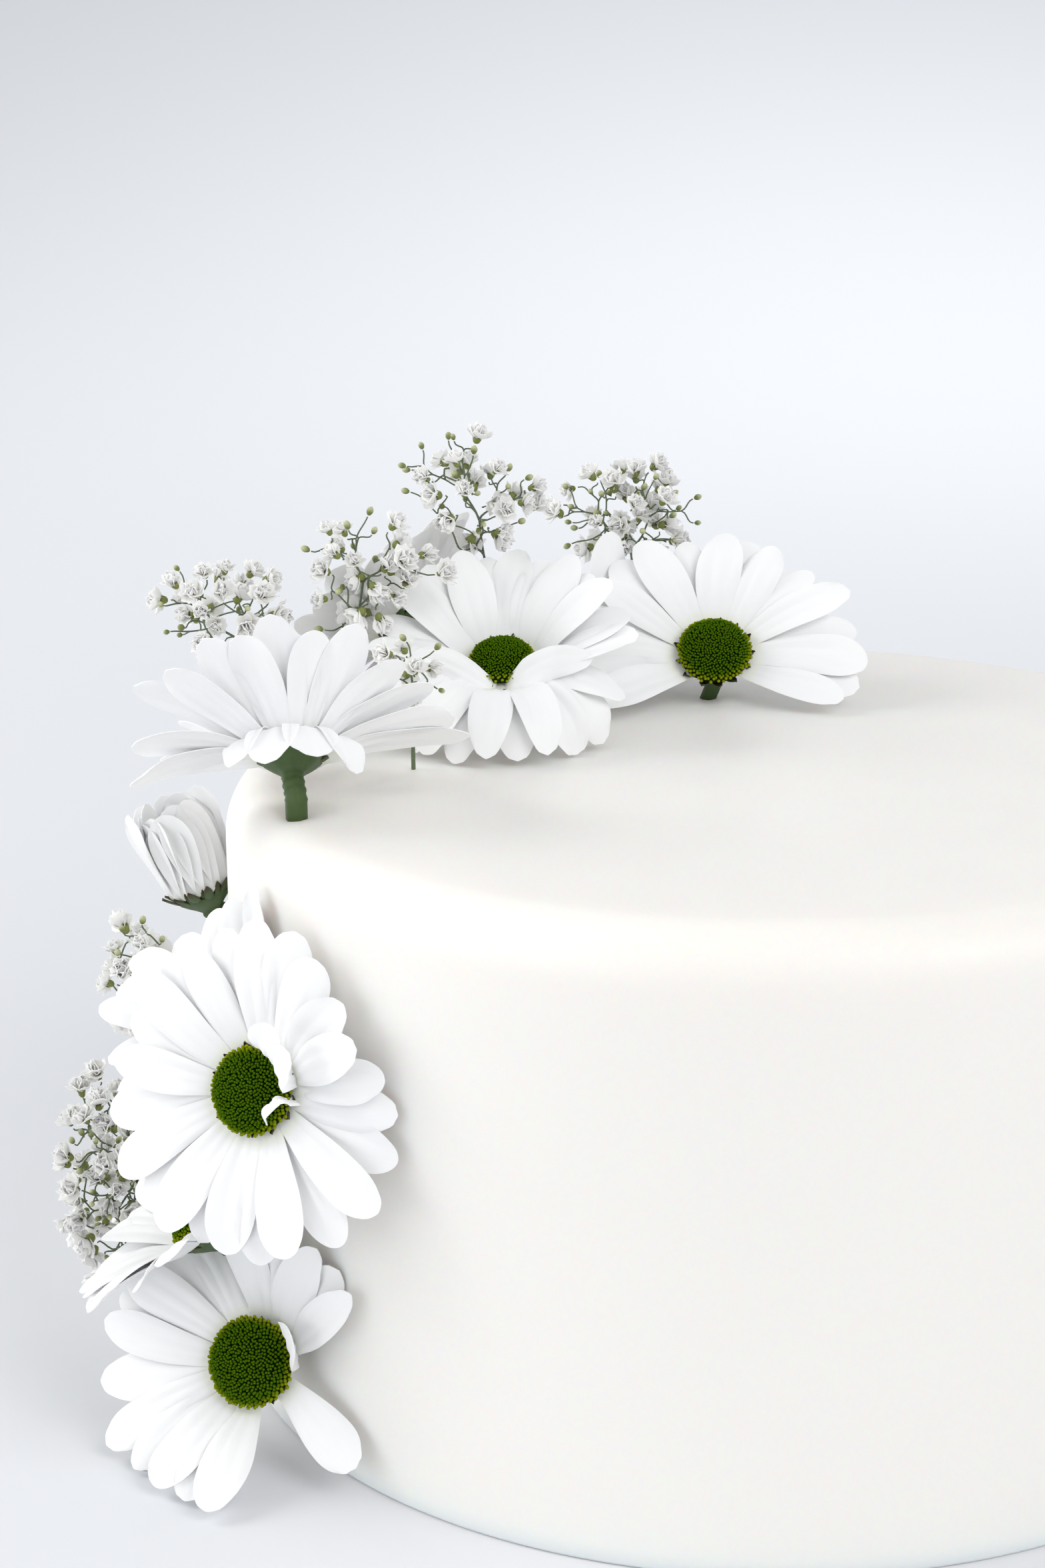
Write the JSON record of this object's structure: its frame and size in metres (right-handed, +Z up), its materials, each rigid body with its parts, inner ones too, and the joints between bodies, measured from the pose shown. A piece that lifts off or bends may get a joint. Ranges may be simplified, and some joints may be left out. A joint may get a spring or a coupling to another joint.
{
  "type": "flower-decorated wedding cake",
  "caption": "Round single-tier wedding cake in smooth white icing, with white daisies and baby's breath sprays running from the top down one side.",
  "frame": {"origin": "centre of the cake's flat round bottom", "axes": "+Z up along the cake's axis, +X to the viewer's right and +Y away from the viewer of the picture; the flowers are on the -X side"},
  "size_m": [0.2379, 0.2032, 0.1742],
  "materials": {
    "icing": "smooth satin white icing, slightly warm",
    "petals": "soft matt white petals, faintly translucent",
    "flower_centres": "matt deep green packed florets",
    "stems": "dark green plant stem, slightly waxy",
    "florets": "creamy white ruffled florets on thin olive stems"
  },
  "bodies": {
    "root": {"cake": "icing", "daisy_01_petals": "petals", "daisy_01_centre": "flower_centres", "daisy_01_stem": "stems", "daisy_02_petals": "petals", "daisy_02_centre": "flower_centres", "daisy_02_stem": "stems", "daisy_03_petals": "petals", "daisy_03_centre": "flower_centres", "daisy_03_stem": "stems", "daisy_04_petals": "petals", "daisy_04_centre": "flower_centres", "daisy_04_stem": "stems", "daisy_05_petals": "petals", "daisy_05_centre": "flower_centres", "daisy_05_stem": "stems", "daisy_06_petals": "petals", "daisy_06_centre": "flower_centres", "daisy_06_stem": "stems", "daisy_07_petals": "petals", "daisy_07_centre": "flower_centres", "daisy_07_stem": "stems", "daisy_08_petals": "petals", "daisy_08_centre": "flower_centres", "daisy_08_stem": "stems", "daisy_09_petals": "petals", "daisy_09_centre": "flower_centres", "daisy_09_stem": "stems", "daisy_10_petals": "petals", "daisy_10_centre": "flower_centres", "daisy_10_stem": "stems", "sprig_1": "florets", "sprig_2": "florets", "sprig_3": "florets", "sprig_4": "florets", "sprig_5": "florets", "sprig_6": "florets", "sprig_7": "florets"}
  },
  "joints": []
}
